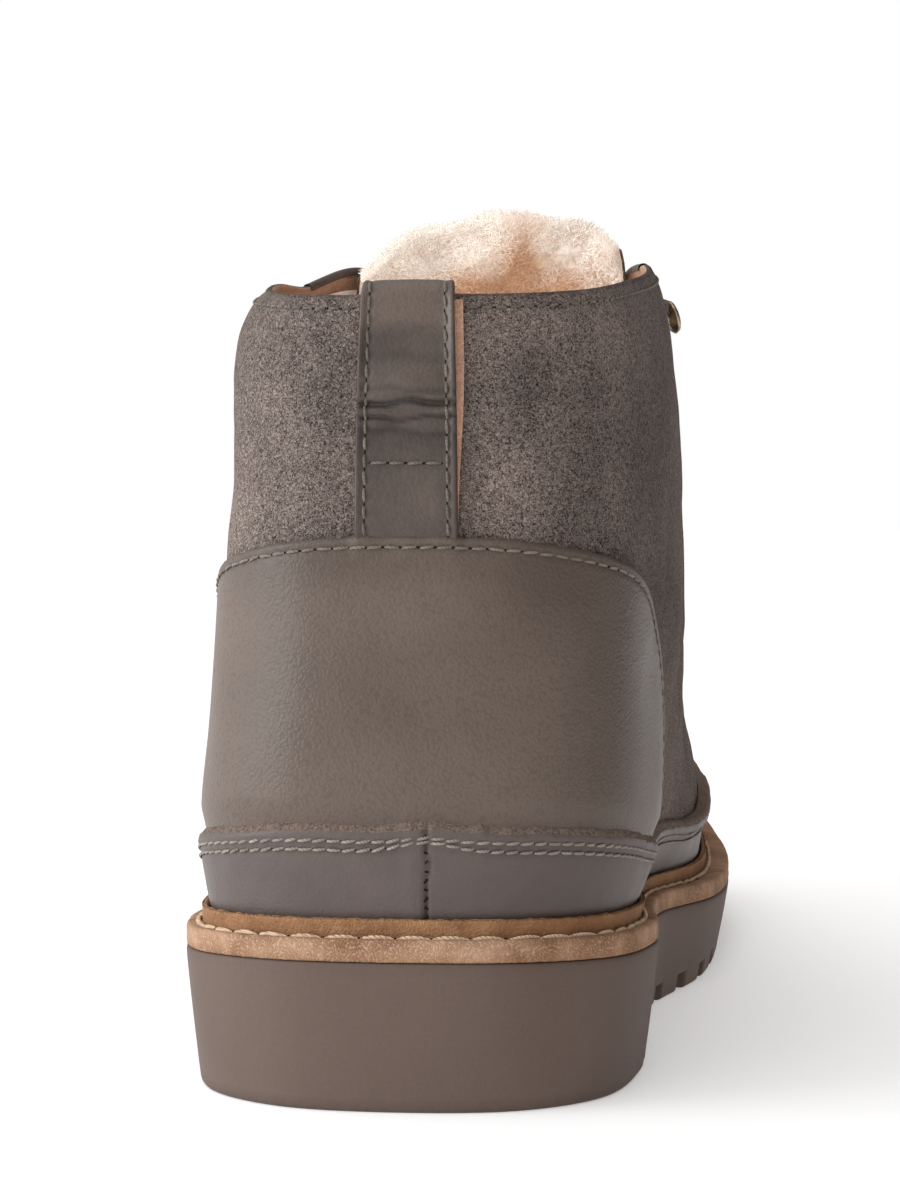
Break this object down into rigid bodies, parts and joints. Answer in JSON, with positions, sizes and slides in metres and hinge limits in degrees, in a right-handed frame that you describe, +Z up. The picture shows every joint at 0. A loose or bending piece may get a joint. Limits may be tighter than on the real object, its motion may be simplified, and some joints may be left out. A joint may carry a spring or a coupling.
{
  "type": "sheepskin boot",
  "caption": "Left ankle-high lace-up boot in suede with a smooth leather heel counter and mudguard, deep sheepskin lining and tongue, stitched storm welt and thick lugged wedge sole.",
  "frame": {"origin": "on the floor under the middle of the boot's bounding box", "axes": "+Y from heel to toe, +X to the medial (inner) side, +Z up"},
  "size_m": [0.1138, 0.304, 0.1612],
  "materials": {
    "rubber": "matt moulded taupe rubber with a fine satin skin",
    "welt_leather": "tan veg-tanned strip, burnished edge",
    "suede": "brushed taupe suede, matt nap",
    "smooth_leather": "fine-grained smooth leather, soft sheen",
    "loop_leather": "smooth olive-grey strap leather, raw peach underside",
    "sheepskin": "curly cream wool, tan in its depths",
    "lace": "round braided taupe cord",
    "antique_metal": "antique nickel-brass, rubbed bright on its high edges",
    "thread": "waxed sewing thread"
  },
  "bodies": {
    "root": {"outsole": "rubber", "welt": "welt_leather", "upper": "suede", "mudguard": "smooth_leather", "heel_counter": "smooth_leather", "pull_loop": "loop_leather", "tongue": "sheepskin", "insole": "sheepskin", "lace": "lace", "hook_medial": "antique_metal", "hook_lateral": "antique_metal", "eyelet_medial_1": "antique_metal", "eyelet_medial_2": "antique_metal", "eyelet_medial_3": "antique_metal", "eyelet_medial_4": "antique_metal", "eyelet_lateral_1": "antique_metal", "eyelet_lateral_2": "antique_metal", "eyelet_lateral_3": "antique_metal", "eyelet_lateral_4": "antique_metal"}
  },
  "joints": []
}
